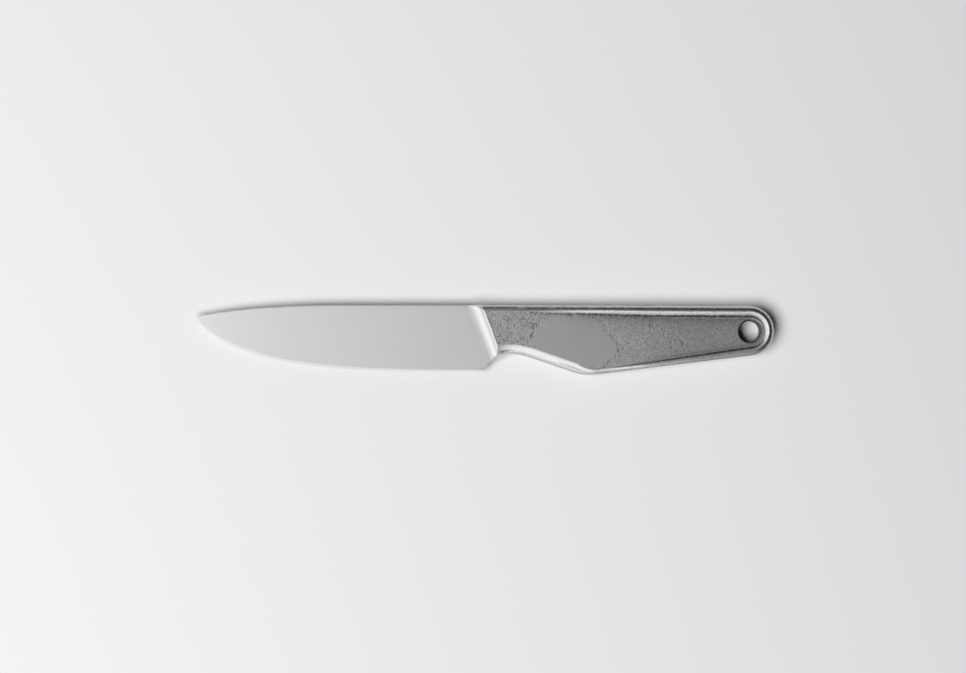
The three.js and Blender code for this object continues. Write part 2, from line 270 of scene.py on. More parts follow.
def editAll(piece):
    pick(piece)
    bpy.ops.object.mode_set(mode="EDIT")
    bpy.ops.mesh.select_all(action="SELECT")


def leaveEdit():
    bpy.ops.object.mode_set(mode="OBJECT")


def vertexArray(piece):
    flat = np.empty(len(piece.data.vertices) * 3)
    piece.data.vertices.foreach_get("co", flat)
    return flat.reshape(-1, 3)


def placeVertices(piece, points):
    piece.data.vertices.foreach_set("co", points.ravel())
    piece.data.update()


# a grid whose points are set from an array of columns and rows, in millimetres from the datum
def gridPiece(name, points):
    columns, rows = points.shape[0] - 1, points.shape[1] - 1
    deselect()
    bpy.ops.mesh.primitive_grid_add(x_subdivisions=columns, y_subdivisions=rows, size=1)
    piece = bpy.context.object
    piece.name = name
    piece.data.name = name
    flat = vertexArray(piece)
    column = np.rint((flat[:, 0] + 0.5) * columns).astype(int)
    row = np.rint((flat[:, 1] + 0.5) * rows).astype(int)
    placed = points[column, row] * mm + [datum[0], datum[1], 0]
    placed[:, :2] = np.clip(placed[:, :2], np.array(cadLow)[:2], np.array(cadHigh)[:2])
    placeVertices(piece, placed)
    return piece, column, row


# open edges of a surface drawn down to a level
def wallsTo(level):
    bpy.ops.mesh.select_mode(type="EDGE")
    bpy.ops.mesh.select_all(action="DESELECT")
    bpy.ops.mesh.select_non_manifold(extend=False)
    bpy.ops.mesh.extrude_edges_move(TRANSFORM_OT_translate={"value": (0, 0, 0)})
    bpy.ops.transform.resize(value=(1, 1, 0), center_override=(0, 0, level))


def applyModifier(piece, kind, **settings):
    pick(piece)
    modifier = piece.modifiers.new(kind.lower(), kind)
    for name, value in settings.items():
        setattr(modifier, name, value)
    bpy.ops.object.modifier_apply(modifier=modifier.name)


# an upper skin walled down to mid height and joined to its mirror image
def closeBoth(piece):
    editAll(piece)
    bpy.ops.mesh.remove_doubles(threshold=weldGap)
    wallsTo(0)
    leaveEdit()
    applyModifier(piece, "MIRROR", use_axis=(False, False, True), merge_threshold=weldGap / 2)
    editAll(piece)
    bpy.ops.mesh.remove_doubles(threshold=weldGap)
    bpy.ops.mesh.normals_make_consistent(inside=False)
    bpy.ops.transform.translate(value=(0, 0, datum[2]))
    leaveEdit()


# upper skin of the blade and bolster, in rows from the edge to the spine
def bladePoints():
    tipBehind = behindRear(tip[None])[0]
    stops = [behindRear(p[None])[0] for p in (heel, heelCutTop)]
    share = 0.5 - 0.5 * np.cos(np.linspace(0, math.pi, blade["stations"]))
    onBlade = mix(tipBehind, rampFoot, mix(np.linspace(0, 1, blade["stations"]), share, 0.5))
    onBolster = mix(rampFoot, 0, np.linspace(0, 1, bolster["stations"]))
    edgeBreak = [crownEnd, rampTop]
    behind = np.unique(np.round(np.concatenate([onBlade, onBolster, stops, edgeBreak]), 6))
    onEdge = behind <= stops[0] + tiny
    rise = bolsterRise(behind)
    top = lookUp(behind, behindRear(spineLine), spineLine[:, 1]) - cornerCut(behind, bolster["topCorner"])
    low = lookUp(behind, behindRear(lowLine), lowLine[:, 1]) + cornerCut(behind, bolster["lowCorner"])
    height = top - low
    bevelLine = edgeLine + np.stack([np.zeros_like(bevelHeight), bevelHeight], -1)
    bevelTop = lookUp(behind, behindRear(bevelLine), bevelLine[:, 1])
    lowEase = mix(blade["heelEase"], bolster["round"], rise)
    lowBand = np.maximum(lowEase, np.where(onEdge, bevelTop - low, 0))
    lowBand = np.minimum(lowBand, height / 2)
    topEase = mix(blade["spineEase"], bolster["round"], rise)
    spineHalf = mix(bladeHeight(leanX(top, behind), top), crest, rise)
    topBand = np.minimum(np.minimum(topEase, height / 4), blade["spineEaseMost"] * spineHalf)

    # even rows on the bevel, and rows that follow a round on the bolster
    even = np.linspace(0, 1, blade["roundRows"] + 1)
    turn = 1 - np.cos(even * math.pi / 2)
    rows = [low + lowBand * mix(flat, curved, rise) for flat, curved in zip(even, turn)]
    for share in np.linspace(0, 1, blade["faceRows"] + 1)[1:-1]:
        rows.append(mix(low + lowBand, top - topBand, share))
    rows += [top - topBand * share for share in turn[::-1]]
    y = np.stack(rows, 1)
    behind = np.broadcast_to(behind[:, None], y.shape)
    x = leanX(y, behind)
    z = mix(bladeHeight(x, y), crest - bolster["lip"], rise[:, None]) + lipHeight(behind)
    z = z - np.maximum(0, behind + bolster["chamfer"])
    z = z - lostToRound(top[:, None] - y, np.maximum(topBand, tiny)[:, None])
    lowLoss = lostToRound(y - low[:, None], np.maximum(lowEase, tiny)[:, None])
    z = z - np.where(onEdge[:, None], 0, lowLoss)
    z[:, 0] = np.where(onEdge, 0, z[:, 0])
    return np.stack([x, y, np.maximum(z, 0)], -1)


def makeBlade():
    piece = gridPiece("blade_and_bolster", bladePoints())[0]
    closeBoth(piece)
    return piece


# outline of the handle
butt = np.array([handle["buttX"], -handle["buttDrop"]])
buttReach = math.hypot(*butt)
topAngle = math.atan2(butt[1], butt[0]) + math.asin(handle["buttRadius"] / buttReach)
topFall = math.tan(topAngle)
buttTopAngle = math.pi / 2 + topAngle
buttLowAngle = handle["rearSlope"] - math.pi / 2
buttEndAngle = (buttTopAngle + buttLowAngle) / 2
buttTop = polar(butt, handle["buttRadius"], buttTopAngle)
buttLow = polar(butt, handle["buttRadius"], buttLowAngle)
notchEnd = polar(notchRear, notch["rearRadius"], math.pi / 2 - handle["frontSlope"])
rearRise = math.tan(handle["rearSlope"])
frontFall = math.tan(handle["frontSlope"])
bellyX = notchEnd[1] + frontFall * notchEnd[0] - buttLow[1] + rearRise * buttLow[0]
bellyX = bellyX / (rearRise + frontFall)
belly = np.array([bellyX, notchEnd[1] - frontFall * (bellyX - notchEnd[0])])
bellyEase = handle["bellyRadius"] * math.tan((handle["rearSlope"] + handle["frontSlope"]) / 2)
bellyRearEnd = polar(belly, bellyEase, handle["rearSlope"])
bellyFrontEnd = polar(belly, bellyEase, math.pi - handle["frontSlope"])
bellyCentre = polar(bellyRearEnd, handle["bellyRadius"], math.pi / 2 + handle["rearSlope"])
bellyArc = np.linspace(-handle["frontSlope"] - math.pi / 2, handle["rearSlope"] - math.pi / 2, 80)
rearArc = np.linspace(math.pi / 2, math.pi / 2 - handle["frontSlope"], 80)
underside = np.vstack([
    notchArc[::-1],
    polar(notchRear, notch["rearRadius"], rearArc)[1:],
    polar(bellyCentre, handle["bellyRadius"], bellyArc),
    [buttLow],
])
holeCentre = butt - [0, handle["holeDrop"]]

# the rim of a scale: shares are of its width in from the outline, places are x
rim = {
    "nearBolster": 2.35,
    "top": 3.8,
    "rear": 3.35,
    "belly": 1.8,
    "front": 3.9,
    "riseStart": 10,
    "riseEnd": 58,
    "crestBegins": 0.48,
    "crestEnds": 0.55,
    "slopeEnds": 0.89,
    "lowCrestEnds": 0.66,  # the lower rim has the wider crest
    "toeWidth": 0.08,  # fine groove at the toe of the inner slope
    "splitDepth": 0.1,
    "round": 1.8,
    "rollFoot": 0.05,  # above the tang, where the rim melts into a rolled edge
    "rollEnds": 0.94,
    "rollBend": 1.6,  # 2 is an even round, less is flatter
    "panelDropAtBolster": 0.6,
    "panelDropAtButt": 1.0,
    "ledgeHeight": 0.15,
    "slopeEase": 0.5,  # how far the inner slope is rounded at its ends
    "ledgeEnds": (1.06, 1.22),
    "ledgeRise": (52, 76),
    "roundRows": 14,
    "slopeRows": 18,
    "panelRows": 78,
    "panelCrowd": 0.55,  # how far the panel's rows draw together at the rim
    "columns": 460,
    "buttColumns": 64,
    "smoothAngle": math.radians(50),
}
# places and widths of the rim's painted shade and painted dark reflection
marks = {
    "skirtReach": 2.2,
    "secondIn": 1.15,
    "secondWide": 0.32,
    "bandIn": 1.05,
    "bandWide": 0.5,
    "underFades": (-0.14, 0.1),
    "outerDarkFades": (0.12, 0.55),
    "splitWide": 0.07,
}


def panelHeight(x):
    share = (x - bolster["rear"]) / (handle["buttX"] - bolster["rear"])
    return crest - mix(rim["panelDropAtBolster"], rim["panelDropAtButt"], share)


def roundShare(rise):
    return mix(rim["rollEnds"], rim["crestBegins"], rise)


# the split line is cut into the rim and painted dark as shade
def splitness(share, side):
    return side["split"] * ridge(share, side["splitAt"], side["splitWide"])


# quarter round up from the outer wall, flat crest, soft slope, ledge and panel
def rimHeight(share, side, x):
    rise = side["rise"]
    slopeEnds = mix(1, rim["slopeEnds"], rise)
    slope = np.clip((share - side["crestEnds"]) / (slopeEnds - side["crestEnds"]), 0, 1)
    slope = mix(slope, smooth(slope), rim["slopeEase"])
    ledge = rise * rim["ledgeHeight"] * side["ledge"] * smooth(x, *rim["ledgeRise"])
    foot = panelHeight(x) + ledge * (1 - smooth(share, *rim["ledgeEnds"]))
    level = foot + rise * (crest - foot) * (1 - slope)
    level = level - side["groove"] * rise * ridge(share - slopeEnds, side["grooveIn"], rim["toeWidth"])
    level = level - rim["splitDepth"] * splitness(share, side)
    left = 1 - np.minimum(1, share / roundShare(rise))
    wallTop = mix(handle["tang"] / 2 + rim["rollFoot"], crest - rim["round"], rise)
    bend = mix(rim["rollBend"], 2, rise)
    return mix(wallTop, level, (1 - left ** bend) ** (1 / bend))


# painted shade at the rim's toe, fading over the panel, and a fainter dark line, by distance from the
# outline
def toeShade(side, inward):
    beyond = inward - side["toeIn"]
    toe = side["toe"] * ridge(beyond, 0, side["toeWide"])
    skirt = side["skirt"] * np.exp(-np.maximum(beyond, 0) / marks["skirtReach"]) * (beyond > 0)
    second = side["second"] * ridge(beyond, marks["secondIn"], marks["secondWide"])
    return np.maximum.reduce([toe, skirt, second])


# rest of the rim's marks: darker outer edge, painted dark reflection on the outer slope, painted shade in
# crevice and split
def edgeShade(side, share):
    inward = share * side["width"]
    band = side["band"] * ridge(inward, marks["bandIn"], marks["bandWide"])
    under = side["under"] * (1 - smooth(share - side["splitAt"], *marks["underFades"]))
    raw = side["rawEdge"] * (1 - smooth(inward, *marks["outerDarkFades"]))
    return np.maximum.reduce([under, raw, band, splitness(share, side)])


# the upper skin between two sides, in rows: points, share of the rim, polish and darkness (painted shade,
# darker outer edge)
def skinPoints(top, low):
    turns = 1 - np.cos(np.linspace(0, math.pi / 2, rim["roundRows"] + 1))
    steps = np.linspace(0, 1, rim["slopeRows"] + 1)[1:]

    def rimRows(side):
        ends = roundShare(side["rise"])
        found = []
        for share in [ends * turn for turn in turns] + [mix(ends, 1, step) for step in steps]:
            inward = side["width"] * share
            plan = side["line"] + side["inward"] * inward[:, None]
            points = np.column_stack([plan, rimHeight(share, side, plan[:, 0])])
            dark = np.maximum(toeShade(side, inward), edgeShade(side, share))
            found.append((points, share, side["polish"], dark))
        return found

    lowRows = rimRows(low)
    topRows = rimRows(top)
    lowInner, topInner = lowRows[-1][0], topRows[-1][0]
    panelRows = []
    even = np.linspace(0, 1, rim["panelRows"] + 1)[1:-1]
    for share in mix(even, 0.5 - 0.5 * np.cos(math.pi * even), rim["panelCrowd"]):
        points = mix(lowInner, topInner, share)
        x = points[:, 0]
        fromTop = top["width"] + np.linalg.norm((topInner - points)[:, :2], axis=1)
        fromLow = low["width"] + np.linalg.norm((points - lowInner)[:, :2], axis=1)
        points[:, 2] = rimHeight(fromTop / top["width"], top, x) - panelHeight(x)
        points[:, 2] += rimHeight(fromLow / low["width"], low, x)
        polish = mix(low["polish"], top["polish"], share)
        dark = np.maximum(toeShade(top, fromTop), toeShade(low, fromLow))
        panelRows.append((points, np.ones(len(points)), polish, dark))
    return [np.stack(layer, 1) for layer in zip(*lowRows, *panelRows, *topRows[::-1])]


# toe, skirt and band paint shade and a dark reflection on the top rim
topRim = {
    "groove": 0.08,
    "grooveIn": 0.05,
    "polishAtBolster": 0.6,
    "toeStarts": (10, 44),
    "toeIn": 0.93,
    "toeWide": 0.5,
    "skirt": 0.9,
    "skirtStarts": (16, 56),
    "band": 0.92,
    "bandStarts": (8, 16),
}
# toe, skirt, second, under and split paint shade on the lower rim; its outer edge is made darker
lowRim = {
    "rise": (42, 60),
    "groove": 0.16,
    "grooveIn": 0.12,
    "polishFades": (50, 84),
    "toeStarts": (45, 52),
    "toeAtBelly": 0.72,
    "toeDarkens": (56, 80),
    "toeIn": 0.84,
    "toeWide": (0.26, 0.42),
    "toeWidens": (52, 90),
    "skirt": 0.2,
    "skirtStarts": (50, 70),
    "second": 0.5,
    "secondStarts": (60, 70),
    "rawEdge": (0.9, 0.75),
    "outerDarkStarts": (38, 44),
    "outerDarkPales": (46, 60),
    "under": 0.13,
    "underEnds": (40, 50),
    "split": [(5.2, 0.6), (5.8, 1), (9, 0.8), (12, 0), (26, 0), (28, 0.7), (35, 0.7), (38, 0.1),
              (40, 0.2), (48, 0.1), (51, 0)],
    "splitAt": [(6, 0.27), (10, 0.33), (27, 0.4), (40, 0.45), (48, 0.5)],
    "splitWide": [(5, 0.16), (7, 0.11), (11, 0.06)],
}
# toe, skirt, second and band paint shade and a dark reflection round the butt
# round the butt, by the share of the way from its top to its low end
buttRim = {
    "crestWidens": (0.5, 1),
    "ledgeEnds": (0.5, 0.95),
    "polishStarts": (1, 0.55),
    "toe": [(0, 1), (0.25, 0.9), (0.5, 0.7), (0.7, 0.8), (1, 1)],
    "toeMoves": (0.4, 1),
    "toeWide": [(0, 0.5), (0.3, 0.3), (0.5, 0.26), (0.7, 0.3), (1, 0.42)],
    "skirt": [(0, 0.9), (0.25, 0.1), (0.75, 0.1), (1, 0.2)],
    "secondStarts": (0.85, 1),
    "outerDarkStarts": (0.7, 1),
    "band": 0.95,
    "bandEnds": (0.8, 1),
}


# what isn't given is left out, and a plain number counts for the whole side
def fullSide(count, **values):
    side = dict.fromkeys(("ledge", "second", "rawEdge", "band", "under", "split", "splitAt"), 0)
    side = {**side, "splitWide": marks["splitWide"], **values}
    return {key: value if np.ndim(value) else np.full(count, float(value)) for key, value in side.items()}


def topSide(x):
    line = np.column_stack([x, x * topFall])
    widen = np.clip((x - rim["riseStart"]) / (rim["riseEnd"] - rim["riseStart"]), 0, 1)
    width = mix(rim["nearBolster"], rim["top"], widen)
    return fullSide(
        len(x),
        line=np.minimum(line, [np.inf, 0]),
        inward=np.tile([math.sin(topAngle), -math.cos(topAngle)], (len(x), 1)),
        width=width,
        rise=smooth(widen),
        crestEnds=rim["crestEnds"],
        ledge=1,
        groove=topRim["groove"],
        grooveIn=topRim["grooveIn"],
        polish=mix(topRim["polishAtBolster"], 1, smooth(widen)),
        toe=smooth(x, *topRim["toeStarts"]),
        toeIn=width * mix(1, topRim["toeIn"], smooth(widen)),
        toeWide=topRim["toeWide"],
        skirt=topRim["skirt"] * smooth(x, *topRim["skirtStarts"]),
        band=topRim["band"] * smooth(x, *topRim["bandStarts"]),
    )


def lowSide(x):
    line = np.column_stack([x, np.interp(x, underside[:, 0], underside[:, 1])])
    run = np.gradient(underside, axis=0)
    run = run / np.linalg.norm(run, axis=1)[:, None]
    stops = [bellyFrontEnd[0], bellyRearEnd[0], buttLow[0]]
    alongX = np.interp(x, underside[:, 0], run[:, 0])
    alongY = np.interp(x, underside[:, 0], run[:, 1])
    width = np.interp(x, stops, [rim["front"], rim["belly"], rim["rear"]])
    darker = mix(lowRim["toeAtBelly"], 1, smooth(x, *lowRim["toeDarkens"]))
    # the outer edge is made darker
    raw = mix(*lowRim["rawEdge"], smooth(x, *lowRim["outerDarkPales"]))
    return fullSide(
        len(x),
        line=line,
        inward=np.column_stack([-alongY, alongX]),
        width=width,
        rise=smooth(x, *lowRim["rise"]),
        crestEnds=rim["lowCrestEnds"],
        groove=lowRim["groove"],
        grooveIn=lowRim["grooveIn"],
        polish=1 - smooth(x, *lowRim["polishFades"]),
        toe=smooth(x, *lowRim["toeStarts"]) * darker,
        toeIn=width * lowRim["toeIn"],
        toeWide=mix(*lowRim["toeWide"], smooth(x, *lowRim["toeWidens"])),
        skirt=lowRim["skirt"] * smooth(x, *lowRim["skirtStarts"]),
        second=lowRim["second"] * smooth(x, *lowRim["secondStarts"]),
        rawEdge=smooth(x, *lowRim["outerDarkStarts"]) * raw,
        under=lowRim["under"] * (1 - smooth(x, *lowRim["underEnds"])),
        split=traced(x, lowRim["split"]),
        splitAt=traced(x, lowRim["splitAt"]),
        splitWide=traced(x, lowRim["splitWide"]),
    )


def buttSide(fromAngle):
    angle = np.linspace(fromAngle, buttEndAngle, rim["buttColumns"] + 1)[1:]
    line = polar(butt, handle["buttRadius"], angle)
    share = (buttTopAngle - angle) / (buttTopAngle - buttLowAngle)
    width = mix(rim["top"], rim["rear"], share)
    return fullSide(
        len(angle),
        line=line,
        inward=(butt - line) / handle["buttRadius"],
        width=width,
        rise=1,
        crestEnds=mix(rim["crestEnds"], rim["lowCrestEnds"], smooth(share, *buttRim["crestWidens"])),
        ledge=1 - smooth(share, *buttRim["ledgeEnds"]),
        groove=mix(topRim["groove"], lowRim["groove"], share),
        grooveIn=mix(topRim["grooveIn"], lowRim["grooveIn"], share),
        polish=smooth(share, *buttRim["polishStarts"]) if fromAngle < 0 else 1,
        toe=traced(share, buttRim["toe"]),
        toeIn=width * mix(topRim["toeIn"], lowRim["toeIn"], smooth(share, *buttRim["toeMoves"])),
        toeWide=traced(share, buttRim["toeWide"]),
        skirt=traced(share, buttRim["skirt"]),
        second=lowRim["second"] * smooth(share, *buttRim["secondStarts"]),
        rawEdge=lowRim["rawEdge"][1] * smooth(share, *buttRim["outerDarkStarts"]),
        band=buttRim["band"] * (1 - smooth(share, *buttRim["bandEnds"])),
    )


def chained(first, second):
    return {key: np.concatenate([first[key], second[key]]) for key in first}


# place on the underside at a distance behind the bolster's rear plane
def undersideX(behind):
    return np.interp(behind, behindRear(notchArc[::-1]), notchArc[::-1, 0])


# a number from 0 to 1 for each cell, always the same
def scatter(i, j, seed):
    value = np.sin(i * 127.1 + j * 311.7 + seed * 74.7) * 43758.5453
    return value - np.floor(value)


# those numbers run smoothly into each other
def cloud(x, y, seed):
    i, j = np.floor(x), np.floor(y)
    u, v = smooth(x - i), smooth(y - j)
    low = mix(scatter(i, j, seed), scatter(i + 1, j, seed), u)
    high = mix(scatter(i, j + 1, seed), scatter(i + 1, j + 1, seed), u)
    return mix(low, high, v)


def speckle(x, y, size, span, seed):
    return smooth(cloud(x / size[0], y / size[1], seed), *span)


# distance to the nearest of points strewn one to a cell, and that point's own number
def strewn(x, y, seed):
    i, j = np.floor(x), np.floor(y)
    near = np.full(x.shape, 9.0)
    number = np.zeros(x.shape)
    for di in (-1, 0, 1):
        for dj in (-1, 0, 1):
            a, b = i + di, j + dj
            away = np.hypot(a + scatter(a, b, seed) - x, b + scatter(a, b, seed + 1) - y)
            number = np.where(away < near, scatter(a, b, seed + 2), number)
            near = np.minimum(near, away)
    return near, number


# distance in from the edge of a patch, less than 0 outside it
def insideBy(x, y, corners):
    best = np.full(x.shape, 99.0)
    inside = np.zeros(x.shape, bool)
    for (ax, ay), (bx, by) in zip(corners, corners[1:] + corners[:1]):
        share = ((x - ax) * (bx - ax) + (y - ay) * (by - ay)) / ((bx - ax) ** 2 + (by - ay) ** 2)
        share = np.clip(share, 0, 1)
        best = np.minimum(best, np.hypot(x - mix(ax, bx, share), y - mix(ay, by, share)))
        crosses = ((ay > y) != (by > y)) & (x < ax + (y - ay) * (bx - ax) / (by - ay + 1e-12))
        inside ^= crosses
    return np.where(inside, best, -best)


# every pattern below adds a number of its own to the seed
forgedSkin = {
    "frontSeed": 3,
    "backSeed": 41,
    "smoothPatch": [(16, -14), (18.5, -10), (18, -8), (22.5, -4.2), (36, -3.6), (41, -5.6),
                    (44.5, -10), (48, -14), (48.5, -17.5), (43, -22), (26, -22)],
    "smoothSpots": [(59.2, -7.2, 1.3), (70.4, -14.5, 1.7)],
    "patchFade": 0.35,
    "ragged": [(2.2, 1.7, 0), (1.1, 0.6, 3)],  # swing and size of the uneven edge, and seed
    "frontEnds": (20, 46),
    "pitSpacing": 1.5,
    "pitCore": 0.05,
    "pitReach": (0.1, 0.24),
    "pitDepth": 0.05,
    "pitAbove": (0.93, 0.5),  # numbers that have a pit, to the rear and at the front
    "pitDark": (0.5, 0.7),
    "strayAbove": 0.95,  # pits also in the smooth patch
    "strayDark": 0.7,
    "grainSize": 0.62,
    "grainFiner": 2.3,
    "grainShare": 0.55,
    "grainDepth": 0.03,
    "grainSpan": (0.5, 0.85),
    "grainDark": 0.16,
    "swellSize": 3.0,
    "swellDepth": 0.012,
}
crumbs = {
    "toeWidens": (14, 46),
    "reach": 1.5,
    "starts": (12, 18),
    "ends": (44, 60),
    "size": (0.5, 0.7),
    "crowd": 0.5,
    "above": (0.95, 1.15),
    "edge": 0.3,
    "patchReach": 0.55,
    "patchFront": (20, 27),
    "patchRear": (41, 45),
    "rearShare": 0.8,
    "patchSize": (0.45, 0.6),
    "patchAbove": (0.5, 0.72),
    "dark": 0.55,
}


# crumbs of scale left along the toe of the top rim, and round the front and rear of the smooth patch
def crumbCover(x, y, fromPatch, seed):
    toe = x * topFall - mix(rim["nearBolster"], rim["top"], smooth(x, *crumbs["toeWidens"]))
    reach = (1 - smooth(toe - y, 0, crumbs["reach"])) * smooth(x, *crumbs["starts"])
    reach = reach * (1 - smooth(x, *crumbs["ends"]))
    broken = cloud(x / crumbs["size"][0], y / crumbs["size"][1], seed + 31) + crumbs["crowd"] * reach
    atToe = smooth(broken, *crumbs["above"]) * smooth(reach, 0, crumbs["edge"])
    ends = 1 - smooth(x, *crumbs["patchFront"]) + crumbs["rearShare"] * smooth(x, *crumbs["patchRear"])
    broken = speckle(x, y, crumbs["patchSize"], crumbs["patchAbove"], seed + 37)
    atPatch = ridge(fromPatch, 0, crumbs["patchReach"]) * ends * broken
    return np.maximum(atToe, atPatch)


# depth of the as-forged skin below the true panel, how dark its hollows are, and how rough it is
def forgedDepth(x, y, seed):
    patch = insideBy(x, y, forgedSkin["smoothPatch"])
    for spotX, spotY, radius in forgedSkin["smoothSpots"]:
        patch = np.maximum(patch, radius - np.hypot(x - spotX, y - spotY))
    ragged = 0
    for swing, size, more in forgedSkin["ragged"]:
        ragged = ragged + swing * (cloud(x / size, y / size, seed + more) - 0.5)
    rough = smooth(-(patch + ragged), -forgedSkin["patchFade"], forgedSkin["patchFade"])
    front = 1 - smooth(x, *forgedSkin["frontEnds"])

    size = forgedSkin["pitSpacing"]
    near, number = strewn(x / size, y / size, seed + 11)
    pit = 1 - smooth(near, forgedSkin["pitCore"], mix(*forgedSkin["pitReach"], number))
    pit = pit * (number > mix(*forgedSkin["pitAbove"], front))
    stray = forgedSkin["strayDark"] * (number > forgedSkin["strayAbove"])
    crumb = crumbCover(x, y, patch + ragged, seed)

    size = forgedSkin["grainSize"]
    finer = forgedSkin["grainFiner"]
    coarse = cloud(x / size, y / size, seed + 15)
    grit = mix(coarse, cloud(x / size * finer, y / size * finer, seed + 16), forgedSkin["grainShare"])
    hollow = mix(*forgedSkin["pitDark"], front) * pit * np.maximum(rough, stray)
    hollow = hollow + forgedSkin["grainDark"] * smooth(grit, *forgedSkin["grainSpan"]) * rough
    hollow = np.clip(np.maximum(hollow, crumbs["dark"] * crumb), 0, 1)
    depth = forgedSkin["pitDepth"] * np.maximum(pit * rough, crumb)
    depth = depth + forgedSkin["grainDepth"] * rough * grit
    size = forgedSkin["swellSize"]
    depth = depth + forgedSkin["swellDepth"] * cloud(x / size, y / size, seed + 20)
    return depth, hollow, rough


def setAttribute(piece, name, values):
    attribute = piece.data.attributes.get(name) or piece.data.attributes.new(name, "FLOAT", "POINT")
    attribute.data.foreach_set("value", values.astype(np.float32))


def getAttribute(piece, name):
    values = np.zeros(len(piece.data.vertices), np.float32)
    piece.data.attributes[name].data.foreach_get("value", values)
    return values.astype(float)


def makeScale(name, side, seed):
    gap = handle["scaleGap"]
    share = np.linspace(0, 1, rim["columns"] + 1)
    topX = mix(leanX(0, gap), buttTop[0], share)
    lowX = mix(undersideX(gap), buttLow[0], share)
    top = chained(topSide(topX), buttSide(buttTopAngle))
    low = chained(lowSide(lowX), buttSide(buttLowAngle))
    points, panelness, polish, toe = skinPoints(top, low)
    piece, column, row = gridPiece(name, points)
    # the rim's painted shade and darker outer edge go into the hollow attribute
    setAttribute(piece, "hollow", toe[column, row])
    setAttribute(piece, "panel", panelness[column, row])
    setAttribute(piece, "polish", polish[column, row])
    editAll(piece)
    bpy.ops.mesh.remove_doubles(threshold=weldGap)
    wallsTo(handle["tang"] / 2 * mm)
    bpy.ops.mesh.edge_face_add()
    bpy.ops.mesh.select_all(action="SELECT")
    bpy.ops.mesh.normals_make_consistent(inside=False)
    leaveEdit()
    cutHole(piece)
    roughen(piece, seed)
    finishScale(piece, side)
    return piece


def extrudeUp(height):
    bpy.ops.mesh.extrude_region_move(TRANSFORM_OT_translate={"value": (0, 0, height)})


# the hanging hole, widening at its upper end to an eased edge
def cutHole(piece, middle=0.0):
    level = panelHeight(holeCentre[0]) * mm
    edge = handle["holeEdge"] * mm
    wide = (handle["holeRadius"] + handle["holeEdge"]) / handle["holeRadius"]
    place = (datum[0] + holeCentre[0] * mm, datum[1] + holeCentre[1] * mm, middle - crest * mm)
    deselect()
    bpy.ops.mesh.primitive_circle_add(
        vertices=handle["holeCorners"],
        radius=handle["holeRadius"] * mm,
        fill_type="NGON",
        location=place,
        rotation=(0, 0, handle["holeTurn"]),
    )
    cutter = bpy.context.object
    editAll(cutter)
    extrudeUp(level - edge + crest * mm)
    extrudeUp(edge)
    bpy.ops.transform.resize(value=(wide, wide, 1), center_override=(place[0], place[1], 0))
    extrudeUp(2 * crest * mm)
    bpy.ops.mesh.select_all(action="SELECT")
    bpy.ops.mesh.normals_make_consistent(inside=False)
    leaveEdit()
    applyModifier(piece, "BOOLEAN", operation="DIFFERENCE", object=cutter, solver="EXACT")
    bpy.data.objects.remove(cutter)


wear = {
    "wallSlack": 0.02,
    "wallLeast": 0.2,
    "holePanel": 0.6,  # the skin goes on round the hole
    "holeClear": (0.3, 0.9),
    "panelStarts": (0.82, 0.97),
    "toeSize": (0.7, 0.5),
    "toeSpan": (0.25, 0.55),
    "toeLeast": 0.7,
    "fleckSize": (0.5, 0.25),
    "fleckSpan": (0.62, 0.8),
    "fleckStarts": (30, 50),
    "fleckDark": 0.3,
    # a painted dark reflection along the top edge near the bolster, broken up a little
    "topEdgeShadeIn": 0.95,
    "topEdgeShadeWide": 0.45,
    "topEdgeShadeEnds": (11.8, 12.8),
    "topEdgeShadeSize": (0.7, 0.35),
    "topEdgeShadeSpan": (0.2, 0.5),
    "topEdgeShadeLeast": 0.72,
    # painted shade on the wall and edge of the hanging hole
    "boreShade": [(0.03, 0.95), (0.45, 0.75), (0.75, 0)],
    "gritLeast": 0.16,
}


